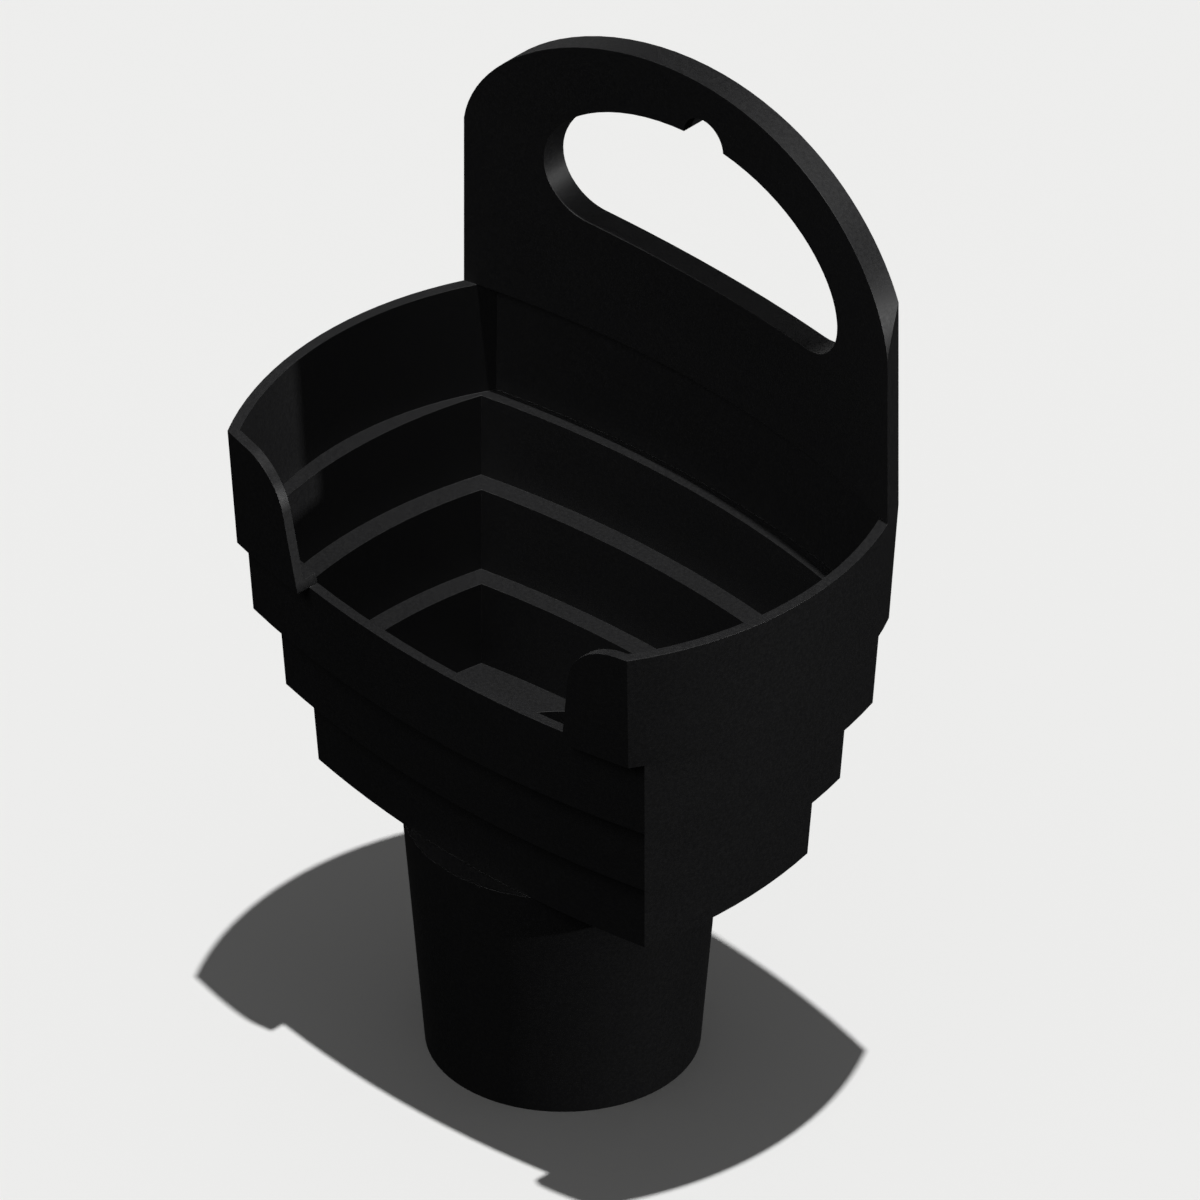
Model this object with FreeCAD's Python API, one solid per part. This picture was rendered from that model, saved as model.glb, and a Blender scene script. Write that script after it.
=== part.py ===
import FreeCAD, Part

import math
import os

# A one-piece moulded tray that stands in the cup holder of a car.
# A hollow tapered plug goes down into the cup holder. Above it the tray widens in
# four tiers with bowed, leaning walls, and a tall plate with a handle hole stands
# on its back wall. The front wall dips so that a hand can reach in.
#
# X runs along the tray's width, Y from its front to its back, and Z up. The origin
# is the centre of the plug's underside. Lengths are millimetres, angles degrees.

# Every wall, ledge and floor of the tray
wall = 2.5

# Plug, closed at its bottom
plug_bottom_diameter = 60.0
plug_top_diameter = 70.0
plug_height = 60.0
plug_wall = 3.0

# Stepped tiers, measured between the corners of their undersides
lowest_width = 100.0
lowest_depth = 50.0
tier_step = 5.0
tier_height = 20.0
stepped_tiers = 3
side_wall_radius = 115.0

# Top tier, as wide between its corners as the tier under it, with rounder sides
top_height = 30.0
top_side_radius = 80.6

# Front and back walls of all tiers, and the outward lean of every tier wall
long_wall_radius = 254.6
draft_angle = 3.7

# Back plate, with half an ellipse for its top
plate_thickness = 6.0
plate_height = 80.0
arch_width = 130.4
arch_rise = 40.0

# Handle hole through the plate, and the round notch at its top for a hook
hole_width = 90.0
hole_rise = 25.0
hole_corner_radius = 12.0
hole_sag = 0.8
notch_radius = 6.0
notch_reach = 5.5

# Dip in the front wall of the top tier. It reaches further to the right, where its
# side also stands a little steeper.
dip_left_reach = 37.0
dip_left_lean = 11.0
dip_right_reach = 43.0
dip_right_lean = 8.0
dip_edge_radius = 13.0

# How far a cutting shape runs past what it cuts
clear = 5.0

# Levels above the plug's underside
tray_bottom = plug_height
top_tier_bottom = tray_bottom + stepped_tiers * tier_height
rim = top_tier_bottom + top_height
plate_top = rim + plate_height
arch_centre = plate_top - arch_rise

# Corner to corner sizes of the top tier
top_width = lowest_width + 2 * tier_step * (stepped_tiers - 1)
top_depth = lowest_depth + 2 * tier_step * stepped_tiers


def point(x, y, z):
    return FreeCAD.Vector(x, y, z)


class Tier:
    """One step of the tray, enclosed by four round walls that lean outwards."""

    def __init__(self, bottom, height, width, depth, side_radius):
        self.bottom = bottom
        self.height = height
        to_long_wall = math.sqrt(long_wall_radius**2 - (width / 2) ** 2) - depth / 2
        to_side_wall = math.sqrt(side_radius**2 - (depth / 2) ** 2) - width / 2
        # Centre and underside radius of the back, front, right and left wall
        self.walls = [
            (0, -to_long_wall, long_wall_radius),
            (0, to_long_wall, long_wall_radius),
            (-to_side_wall, 0, side_radius),
            (to_side_wall, 0, side_radius),
        ]

    def lean(self, level):
        return (level - self.bottom) * math.tan(math.radians(draft_angle))

    def space(self, low, high, inset=0.0):
        """What the walls enclose between two levels, drawn in by the inset."""
        cones = []
        for x, y, radius in self.walls:
            low_radius = radius + self.lean(low) - inset
            high_radius = radius + self.lean(high) - inset
            cone = Part.makeCone(low_radius, high_radius, high - low, point(x, y, low))
            # This turns the cone's seam away from the tray
            cone.rotate(point(x, y, low), point(0, 0, 1), math.degrees(math.atan2(y, x)))
            cones.append(cone)
        shared = cones[0]
        for cone in cones[1:]:
            shared = shared.common(cone)
        return shared

    def block(self):
        return self.space(self.bottom, self.bottom + self.height)

    def cavity(self, ceiling):
        return self.space(self.bottom + wall, ceiling, wall)


def stepped_tier(index):
    bottom = tray_bottom + index * tier_height
    width = lowest_width + 2 * tier_step * index
    depth = lowest_depth + 2 * tier_step * index
    return Tier(bottom, tier_height, width, depth, side_wall_radius)


def top_tier():
    return Tier(top_tier_bottom, top_height, top_width, top_depth, top_side_radius)


def plug_taper(low, high, inset=0.0):
    """The plug's round taper between two levels, drawn in by the inset."""
    slope = (plug_top_diameter - plug_bottom_diameter) / 2 / plug_height
    low_radius = plug_bottom_diameter / 2 + slope * low - inset
    high_radius = plug_bottom_diameter / 2 + slope * high - inset
    return Part.makeCone(low_radius, high_radius, high - low, point(0, 0, low))


def plug_well(lowest):
    """The plug's hollow. Its mouth is narrowed by the lowest tier's long walls."""
    shoulder = plug_height - wall
    floor = plug_height + wall
    mouth = plug_taper(shoulder, floor, plug_wall)
    mouth = mouth.common(lowest.space(shoulder, floor, wall))
    return plug_taper(plug_wall, shoulder, plug_wall).fuse(mouth)


def tray():
    """The plug and the four tiers, hollowed through from the rim down."""
    tiers = [stepped_tier(index) for index in range(stepped_tiers)]
    tiers.append(top_tier())
    outside = plug_taper(0, plug_height)
    hollow = plug_well(tiers[0])
    for tier in tiers:
        outside = outside.fuse(tier.block())
        # Each hollow opens into the next one up, and the top one into the open
        hollow = hollow.fuse(tier.cavity(tier.bottom + tier.height + wall))
    return outside.cut(hollow).cut(dip())


def upright(x, z):
    return point(x, 0, z)


def line(start, end):
    return Part.makeLine(upright(*start), upright(*end))


def arc(centre, radius, start_angle, end_angle):
    """A round edge in the XZ plane, with angles measured from +X towards +Z."""
    points = []
    for angle in (start_angle, (start_angle + end_angle) / 2, end_angle):
        turn = math.radians(angle)
        across = centre[0] + radius * math.cos(turn)
        points.append(upright(across, centre[1] + radius * math.sin(turn)))
    return Part.Arc(*points).toShape()


def half_ellipse(half_width, rise):
    """The upper half of an ellipse about the arch's centre, from +X to -X."""
    centre = upright(0, arch_centre)
    ellipse = Part.Ellipse(centre + upright(half_width, 0), centre + upright(0, rise), centre)
    return Part.Arc(ellipse, 0, math.pi).toShape()


def extruded(edges, front, back):
    """A closed outline in the XZ plane, run along Y from the front to the back."""
    face = Part.Face(Part.Wire(Part.sortEdges(edges)[0]))
    face.translate(point(0, front, 0))
    return face.extrude(point(0, back - front, 0))


def dip_side(reach, lean_angle):
    """One half of the dip: its side leans out from its foot and rounds into the rim."""
    lean = math.radians(lean_angle)
    # The rounding touches both the rim and the leaning side
    round_level = rim - dip_edge_radius
    rise = round_level + dip_edge_radius * math.sin(lean) - top_tier_bottom
    foot = (reach, top_tier_bottom)
    shoulder = (reach + rise * math.tan(lean), top_tier_bottom + rise)
    round_centre = (shoulder[0] + dip_edge_radius * math.cos(lean), round_level)
    top = (round_centre[0], rim + clear)
    return [
        line((0, top_tier_bottom), foot),
        line(foot, shoulder),
        arc(round_centre, dip_edge_radius, 180 - lean_angle, 90),
        line((round_centre[0], rim), top),
        line(top, (0, rim + clear)),
    ]


def dip():
    """The cutting shape of the front dip, with its left half mirrored into place."""
    right = dip_side(dip_right_reach, dip_right_lean)
    left = dip_side(dip_left_reach, dip_left_lean)
    left = [edge.mirror(point(0, 0, 0), point(1, 0, 0)) for edge in left]
    return extruded(right + left, -top_depth, 0)


def arch():
    """The plate's outline: straight sides under half an ellipse."""
    half = arch_width / 2
    low = rim - clear
    edges = [
        line((-half, low), (half, low)),
        line((half, low), (half, arch_centre)),
        half_ellipse(half, arch_rise),
        line((-half, arch_centre), (-half, low)),
    ]
    return extruded(edges, -top_depth, top_depth)


def handle_hole():
    """Half an ellipse over a sagging bottom with round corners, and the hook notch."""
    half = hole_width / 2
    bend = half - hole_corner_radius
    # The bottom is an arc that runs smoothly into the round corners
    corner_to_centre = (bend**2 + hole_sag**2) / (2 * hole_sag)
    bottom_radius = corner_to_centre + hole_corner_radius
    bottom_centre = (0, arch_centre + corner_to_centre - hole_sag)
    half_turn = math.degrees(math.asin(bend / corner_to_centre))
    edges = [
        arc(bottom_centre, bottom_radius, 270 - half_turn, 270 + half_turn),
        arc((bend, arch_centre), hole_corner_radius, half_turn - 90, 0),
        half_ellipse(half, hole_rise),
        arc((-bend, arch_centre), hole_corner_radius, 180, 270 - half_turn),
    ]
    notch_level = arch_centre + hole_rise + notch_reach - notch_radius
    notch_end = point(0, -top_depth, notch_level)
    notch = Part.makeCylinder(notch_radius, 2 * top_depth, notch_end, point(0, 1, 0))
    return extruded(edges, -top_depth, top_depth).fuse(notch)


def plate():
    """The strip along the back of the rim's outline, raised into the back plate."""
    top = top_tier()
    rim_outline = max(top.block().Faces, key=lambda face: face.CenterOfMass.z)
    x, y, radius = top.walls[0]
    front_radius = radius + top.lean(rim) - plate_thickness
    in_front = Part.makeCylinder(front_radius, plate_height, point(x, y, rim))
    strip = rim_outline.extrude(point(0, 0, plate_height)).cut(in_front)
    return strip.common(arch()).cut(handle_hole())


os.makedirs("parts", exist_ok=True)
holder = tray().fuse(plate()).removeSplitter()
holder.exportStep("parts/holder_body.step")
print("solids", len(holder.Solids), "valid", holder.isValid(), "volume", round(holder.Volume))
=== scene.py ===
import math

import bpy
from mathutils import Matrix, Vector


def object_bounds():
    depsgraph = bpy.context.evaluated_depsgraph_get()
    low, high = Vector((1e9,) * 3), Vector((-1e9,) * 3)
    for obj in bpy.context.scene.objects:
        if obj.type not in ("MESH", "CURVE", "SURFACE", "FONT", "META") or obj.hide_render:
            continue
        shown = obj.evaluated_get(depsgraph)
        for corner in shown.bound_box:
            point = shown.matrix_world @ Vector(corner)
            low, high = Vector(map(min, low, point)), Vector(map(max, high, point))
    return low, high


# A one-piece car cup holder in satin black plastic, on a pale floor. The moulded
# housing keeps its shape from the frame, and gets its edges and its finish here.

bl_info = {
    "name": "Car cup holder",
    "version": (1, 0, 0),
    "blender": (4, 5, 0),
    "location": "View3D > Sidebar > Cup holder",
    "description": "Finishes the moulded housing and sets up its studio",
    "category": "Object",
}

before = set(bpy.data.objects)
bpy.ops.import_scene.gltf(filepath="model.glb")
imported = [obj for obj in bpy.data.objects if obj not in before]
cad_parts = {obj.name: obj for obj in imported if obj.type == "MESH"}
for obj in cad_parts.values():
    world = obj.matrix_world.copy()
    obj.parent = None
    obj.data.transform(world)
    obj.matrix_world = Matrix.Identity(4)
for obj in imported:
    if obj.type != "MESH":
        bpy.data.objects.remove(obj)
cad_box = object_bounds()

MM = 0.001


def linear(hex_colour):
    """The linear colour of an sRGB hex value."""
    channels = [int(hex_colour[start : start + 2], 16) / 255 for start in (1, 3, 5)]
    return [
        value / 12.92 if value <= 0.04045 else ((value + 0.055) / 1.055) ** 2.4
        for value in channels
    ]


def add_node(tree, kind, settings=(), **links):
    """Adds a node. Settings are (name, value) pairs for its inputs or itself."""
    node = tree.nodes.new(kind)
    for name, value in settings:
        if isinstance(name, int) or name in node.inputs:
            node.inputs[name].default_value = value
        else:
            setattr(node, name, value)
    for name, source in links.items():
        socket = next(s for s in node.inputs if s.name.replace(" ", "_") == name)
        tree.links.new(source, socket)
    return node


def new_material(name):
    material = bpy.data.materials.new(name)
    material.use_nodes = True
    material.node_tree.nodes.clear()
    return material, material.node_tree


# Moulded housing

# Points nearer to each other than this are one point of the shape
SEAM_WIDTH = 0.001 * MM
# Faces that meet at less than this are one flat. A much wider angle would flatten the
# bowed walls too.
FLAT_ANGLE = math.radians(0.01)
# Edges that turn by more than this are rounded
SHARP_ANGLE = math.radians(24)

# The colour mix shares the names of its sockets with other kinds of mix, so they are
# known by number
MIX_FACTOR = 0
MIX_FIRST = 6
MIX_SECOND = 7
MIX_RESULT = 2

# Most of a noise's values lie between these
NOISE_LOW = 0.3
NOISE_HIGH = 0.7


class HousingSettings(bpy.types.PropertyGroup):
    edge_radius: bpy.props.FloatProperty(
        name="Edge radius",
        description="Radius that the mould leaves on every sharp edge",
        default=0.18 * MM,
        min=0,
        subtype="DISTANCE",
        unit="LENGTH",
    )
    plastic: bpy.props.FloatVectorProperty(
        name="Plastic",
        description="Colour of the plastic",
        default=linear("#111112"),
        min=0,
        max=1,
        subtype="COLOR",
    )
    thin_pigment: bpy.props.FloatVectorProperty(
        name="Thin pigment",
        description="Colour where the pigment flowed a little thinner",
        default=linear("#151516"),
        min=0,
        max=1,
        subtype="COLOR",
    )
    drift_width: bpy.props.FloatProperty(
        name="Drift width",
        description="How far apart the places with thinner pigment lie",
        default=30 * MM,
        min=1 * MM,
        subtype="DISTANCE",
        unit="LENGTH",
    )
    roughness: bpy.props.FloatProperty(
        name="Roughness",
        description="Roughness of the satin skin",
        default=0.48,
        min=0,
        max=1,
        subtype="FACTOR",
    )
    grain_contrast: bpy.props.FloatProperty(
        name="Grain contrast",
        description="How much rougher the grain's pits are than the skin, and its tops smoother",
        default=0.06,
        min=0,
        max=0.4,
        subtype="FACTOR",
    )
    grain_width: bpy.props.FloatProperty(
        name="Grain width",
        description="Width of the mould's etched grain",
        default=0.8 * MM,
        min=0.1 * MM,
        subtype="DISTANCE",
        unit="LENGTH",
    )
    grain_depth: bpy.props.FloatProperty(
        name="Grain depth",
        description="Depth of the mould's etched grain",
        default=0.02 * MM,
        min=0,
        subtype="DISTANCE",
        unit="LENGTH",
    )


def satin_black_abs(settings):
    """ABS from an etched steel mould: a soft sheen, broken up by a very fine grain."""
    material, tree = new_material("satin_black_abs_moulded")
    place = add_node(tree, "ShaderNodeTexCoord").outputs["Object"]

    # Pigment drifts a little over a few centimetres as the melt fills the mould
    drift = add_node(
        tree,
        "ShaderNodeTexNoise",
        [("Scale", 1 / settings.drift_width), ("Detail", 3)],
        Vector=place,
    )
    pigment = add_node(
        tree,
        "ShaderNodeMix",
        [
            ("data_type", "RGBA"),
            (MIX_FIRST, (*settings.plastic, 1)),
            (MIX_SECOND, (*settings.thin_pigment, 1)),
        ],
    )
    tree.links.new(drift.outputs["Fac"], pigment.inputs[MIX_FACTOR])

    # A real etched grain is about 0.2 mm wide. It is drawn coarser so that it shows.
    grain = add_node(
        tree,
        "ShaderNodeTexNoise",
        [("Scale", 1 / settings.grain_width), ("Detail", 2), ("Roughness", 0.6)],
        Vector=place,
    )
    grained = add_node(
        tree,
        "ShaderNodeBump",
        [("Strength", 0.6), ("Distance", settings.grain_depth)],
        Height=grain.outputs["Fac"],
    )
    # The grain's tops are rubbed smoother than its pits
    skin = add_node(
        tree,
        "ShaderNodeMapRange",
        [
            ("From Min", NOISE_LOW),
            ("From Max", NOISE_HIGH),
            ("To Min", settings.roughness + settings.grain_contrast),
            ("To Max", settings.roughness - settings.grain_contrast),
        ],
        Value=grain.outputs["Fac"],
    )
    plastic = add_node(
        tree,
        "ShaderNodeBsdfPrincipled",
        [("IOR", 1.49)],
        Base_Color=pigment.outputs[MIX_RESULT],
        Roughness=skin.outputs["Result"],
        Normal=grained.outputs["Normal"],
    )
    add_node(tree, "ShaderNodeOutputMaterial", Surface=plastic.outputs["BSDF"])
    return material


class FinishHousing(bpy.types.Operator):
    """Rounds the moulded edges and gives the housing its satin black plastic"""

    bl_idname = "cup_holder.finish_housing"
    bl_label = "Finish the housing"

    def execute(self, context):
        settings = context.scene.cup_holder_housing
        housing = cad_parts["holder_body"]
        housing.material_slots[0].material = satin_black_abs(settings)

        weld = housing.modifiers.new("close_seams", "WELD")
        weld.merge_threshold = SEAM_WIDTH
        flats = housing.modifiers.new("whole_flats", "DECIMATE")
        flats.decimate_type = "DISSOLVE"
        flats.angle_limit = FLAT_ANGLE
        edges = housing.modifiers.new("moulded_edges", "BEVEL")
        edges.width = settings.edge_radius
        edges.segments = 3
        edges.limit_method = "ANGLE"
        edges.angle_limit = SHARP_ANGLE
        # The broad walls set the shading up to the very edge, and only the edge is round
        sheen = housing.modifiers.new("even_sheen", "WEIGHTED_NORMAL")
        sheen.weight = 50
        return {"FINISHED"}


# Stage

FLOOR_SIDES = 96
# From the middle of the object to each softbox, in metres
SOFTBOX_DISTANCE = 1.3
# The view has no perspective, so the camera only has to stand clear of the object
CAMERA_DISTANCE = 1


class StageSettings(bpy.types.PropertyGroup):
    floor: bpy.props.FloatVectorProperty(
        name="Floor",
        description="Colour of the floor",
        default=linear("#f4f4f3"),
        min=0,
        max=1,
        subtype="COLOR",
    )
    backdrop: bpy.props.FloatVectorProperty(
        name="Backdrop",
        description="Colour of the lit backdrop round the floor",
        default=linear("#e0e0e0"),
        min=0,
        max=1,
        subtype="COLOR",
    )
    floor_radius: bpy.props.FloatProperty(
        name="Floor radius",
        description="How far the floor reaches before the backdrop rises",
        default=9,
        min=1,
        subtype="DISTANCE",
        unit="LENGTH",
    )
    backdrop_height: bpy.props.FloatProperty(
        name="Backdrop height",
        description="Height of the backdrop",
        default=0.4,
        min=0,
        subtype="DISTANCE",
        unit="LENGTH",
    )
    overhead_strength: bpy.props.FloatProperty(
        name="Overhead lamp",
        description="Strength of the lamp overhead",
        default=2.65,
        min=0,
    )
    overhead_spread: bpy.props.FloatProperty(
        name="Overhead spread",
        description="How wide the lamp overhead looks from the object. It softens the shadow",
        default=math.radians(0.8),
        min=0,
        subtype="ANGLE",
        unit="ROTATION",
    )
    overhead_tilt: bpy.props.FloatProperty(
        name="Overhead tilt",
        description="How far to the right of straight overhead the lamp hangs",
        default=math.radians(3.8),
        subtype="ANGLE",
        unit="ROTATION",
    )
    air_strength: bpy.props.FloatProperty(
        name="Studio air",
        description="Strength of the light that comes evenly from all round",
        default=0.1,
        min=0,
    )
    azimuth: bpy.props.FloatProperty(
        name="View azimuth",
        description="Direction of the view. Zero looks along +Y",
        default=math.radians(45),
        subtype="ANGLE",
        unit="ROTATION",
    )
    elevation: bpy.props.FloatProperty(
        name="View elevation",
        description="Height of the view above the horizon",
        default=math.atan(1 / math.sqrt(2)),
        subtype="ANGLE",
        unit="ROTATION",
    )
    view_width: bpy.props.FloatProperty(
        name="View width",
        description="Width of the view",
        default=260.25 * MM,
        min=1 * MM,
        subtype="DISTANCE",
        unit="LENGTH",
    )
    view_right: bpy.props.FloatProperty(
        name="View to the right",
        description="How far the view's centre lies to the right of the plug's foot",
        default=8.02 * MM,
        subtype="DISTANCE",
        unit="LENGTH",
    )
    view_up: bpy.props.FloatProperty(
        name="View up",
        description="How far the view's centre lies above the plug's foot",
        default=93.73 * MM,
        subtype="DISTANCE",
        unit="LENGTH",
    )


def make_stage_mesh(name, points, faces, material):
    mesh = bpy.data.meshes.new(name)
    mesh.from_pydata(points, [], faces)
    mesh.materials.append(material)
    piece = bpy.data.objects.new(name, mesh)
    bpy.context.scene.collection.objects.link(piece)
    return piece


def matt_paper(settings):
    """Matt paper roll: pale and even, with no shine."""
    material, tree = new_material("matt_paper_floor")
    paper = add_node(
        tree,
        "ShaderNodeBsdfPrincipled",
        [("Base Color", (*settings.floor, 1)), ("Roughness", 1), ("Specular IOR Level", 0)],
    )
    add_node(tree, "ShaderNodeOutputMaterial", Surface=paper.outputs["BSDF"])
    return material


def lit_cloth(settings):
    """White cloth lit from behind: it glows evenly at the level of its own colour."""
    material, tree = new_material("lit_cloth_backdrop")
    glow = add_node(
        tree,
        "ShaderNodeEmission",
        [("Color", (*settings.backdrop, 1)), ("Strength", 1)],
    )
    add_node(tree, "ShaderNodeOutputMaterial", Surface=glow.outputs["Emission"])
    return material


def view_axes(azimuth, elevation):
    """The view's right, up and backward directions."""
    right = Vector((math.cos(azimuth), math.sin(azimuth), 0))
    back = Vector(
        (
            math.sin(azimuth) * math.cos(elevation),
            -math.cos(azimuth) * math.cos(elevation),
            math.sin(elevation),
        )
    )
    return right, back.cross(right), back


def looking_from(place, axes):
    """The placement of a lamp or camera that looks along the view with those axes."""
    return Matrix.Translation(place) @ Matrix(axes).transposed().to_4x4()


def add_softbox(name, lit, azimuth, elevation, size, power):
    """A rectangular lamp that faces the middle of the object and lights one collection.

    It hangs where a view of that azimuth and elevation, in degrees, is taken from. Its
    size is in metres and its power in watts.
    """
    lamp = bpy.data.lights.new(name, "AREA")
    lamp.shape = "RECTANGLE"
    lamp.size, lamp.size_y = size
    lamp.energy = power
    softbox = bpy.data.objects.new(name, lamp)
    axes = view_axes(math.radians(azimuth), math.radians(elevation))
    middle = (Vector(cad_box[0]) + Vector(cad_box[1])) / 2
    back = axes[2]
    softbox.matrix_world = looking_from(middle + back * SOFTBOX_DISTANCE, axes)
    softbox.light_linking.receiver_collection = lit
    bpy.context.scene.collection.objects.link(softbox)


class SetUpStage(bpy.types.Operator):
    """Lays the floor, raises the backdrop, and sets the lamps and the camera"""

    bl_idname = "cup_holder.set_up_stage"
    bl_label = "Set up the stage"

    def execute(self, context):
        scene = context.scene
        settings = scene.cup_holder_stage
        self.lay_floor(settings)
        self.light(scene, settings)
        self.aim_camera(scene, settings)
        scene.view_settings.view_transform = "Standard"
        return {"FINISHED"}

    def lay_floor(self, settings):
        radius = settings.floor_radius
        low = []
        for side in range(FLOOR_SIDES):
            turn = math.tau * side / FLOOR_SIDES
            low.append((radius * math.cos(turn), radius * math.sin(turn), 0))
        high = [(x, y, settings.backdrop_height) for x, y, z in low]
        floor = make_stage_mesh("floor", low, [range(FLOOR_SIDES)], matt_paper(settings))
        # As black cards round the set would, this keeps the pale floor's light off the
        # plastic, so that its walls stay as dark as they are in the photograph
        floor.visible_diffuse = False
        floor.visible_glossy = False
        walls = []
        for side in range(FLOOR_SIDES):
            after = (side + 1) % FLOOR_SIDES
            walls.append((after, side, side + FLOOR_SIDES, after + FLOOR_SIDES))
        make_stage_mesh("backdrop", low + high, walls, lit_cloth(settings))

    def light(self, scene, settings):
        # The main lamp hangs almost straight overhead, a little to the right
        main_lamp = bpy.data.lights.new("overhead", "SUN")
        main_lamp.energy = settings.overhead_strength
        main_lamp.angle = settings.overhead_spread
        overhead = bpy.data.objects.new("overhead", main_lamp)
        overhead.rotation_euler = (0, settings.overhead_tilt, 0)
        scene.collection.objects.link(overhead)

        # As black cards would, this keeps the other lamps off the floor, so that the
        # floor has one shadow only
        lit = bpy.data.collections.new("lit_by_softboxes")
        lit.objects.link(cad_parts["holder_body"])
        # A small lamp on the right lights the left inner wall past the plate's edge
        add_softbox("right_lamp", lit, azimuth=110, elevation=15, size=(0.03, 0.03), power=8)
        # This one is for the front walls, the plate and the inside
        add_softbox("front_softbox", lit, azimuth=2, elevation=46, size=(0.7, 0.5), power=5)
        # This one is for the back
        add_softbox("back_softbox", lit, azimuth=192, elevation=8, size=(1, 0.7), power=2)
        # This one is for the left side
        add_softbox("left_softbox", lit, azimuth=262, elevation=14, size=(0.7, 0.5), power=2)

        # The air of the studio lightens the shadow, and is no part of the sheen
        world = bpy.data.worlds.new("studio_air")
        world.use_nodes = True
        air = world.node_tree.nodes["Background"]
        air.inputs["Color"].default_value = (1, 1, 1, 1)
        air.inputs["Strength"].default_value = settings.air_strength
        world.cycles_visibility.glossy = False
        scene.world = world

    def aim_camera(self, scene, settings):
        lens = bpy.data.cameras.new("view")
        lens.type = "ORTHO"
        lens.ortho_scale = settings.view_width
        camera = bpy.data.objects.new("view", lens)
        axes = view_axes(settings.azimuth, settings.elevation)
        right, up, back = axes
        centre = right * settings.view_right + up * settings.view_up
        camera.matrix_world = looking_from(centre + back * CAMERA_DISTANCE, axes)
        scene.collection.objects.link(camera)
        scene.camera = camera


# Sidebar


class CupHolderPanel(bpy.types.Panel):
    bl_idname = "VIEW3D_PT_cup_holder"
    bl_label = "Car cup holder"
    bl_space_type = "VIEW_3D"
    bl_region_type = "UI"
    bl_category = "Cup holder"

    def draw(self, context):
        for group, operator in (
            (context.scene.cup_holder_housing, FinishHousing),
            (context.scene.cup_holder_stage, SetUpStage),
        ):
            box = self.layout.box()
            for name in group.bl_rna.properties.keys():
                if name not in ("rna_type", "name"):
                    box.prop(group, name)
            box.operator(operator.bl_idname)


CLASSES = (HousingSettings, StageSettings, FinishHousing, SetUpStage, CupHolderPanel)


def register():
    for cls in CLASSES:
        bpy.utils.register_class(cls)
    bpy.types.Scene.cup_holder_housing = bpy.props.PointerProperty(type=HousingSettings)
    bpy.types.Scene.cup_holder_stage = bpy.props.PointerProperty(type=StageSettings)


def unregister():
    del bpy.types.Scene.cup_holder_stage
    del bpy.types.Scene.cup_holder_housing
    for cls in reversed(CLASSES):
        bpy.utils.unregister_class(cls)


def main():
    register()
    bpy.ops.cup_holder.finish_housing()
    bpy.ops.cup_holder.set_up_stage()


if __name__ == "__main__":
    main()
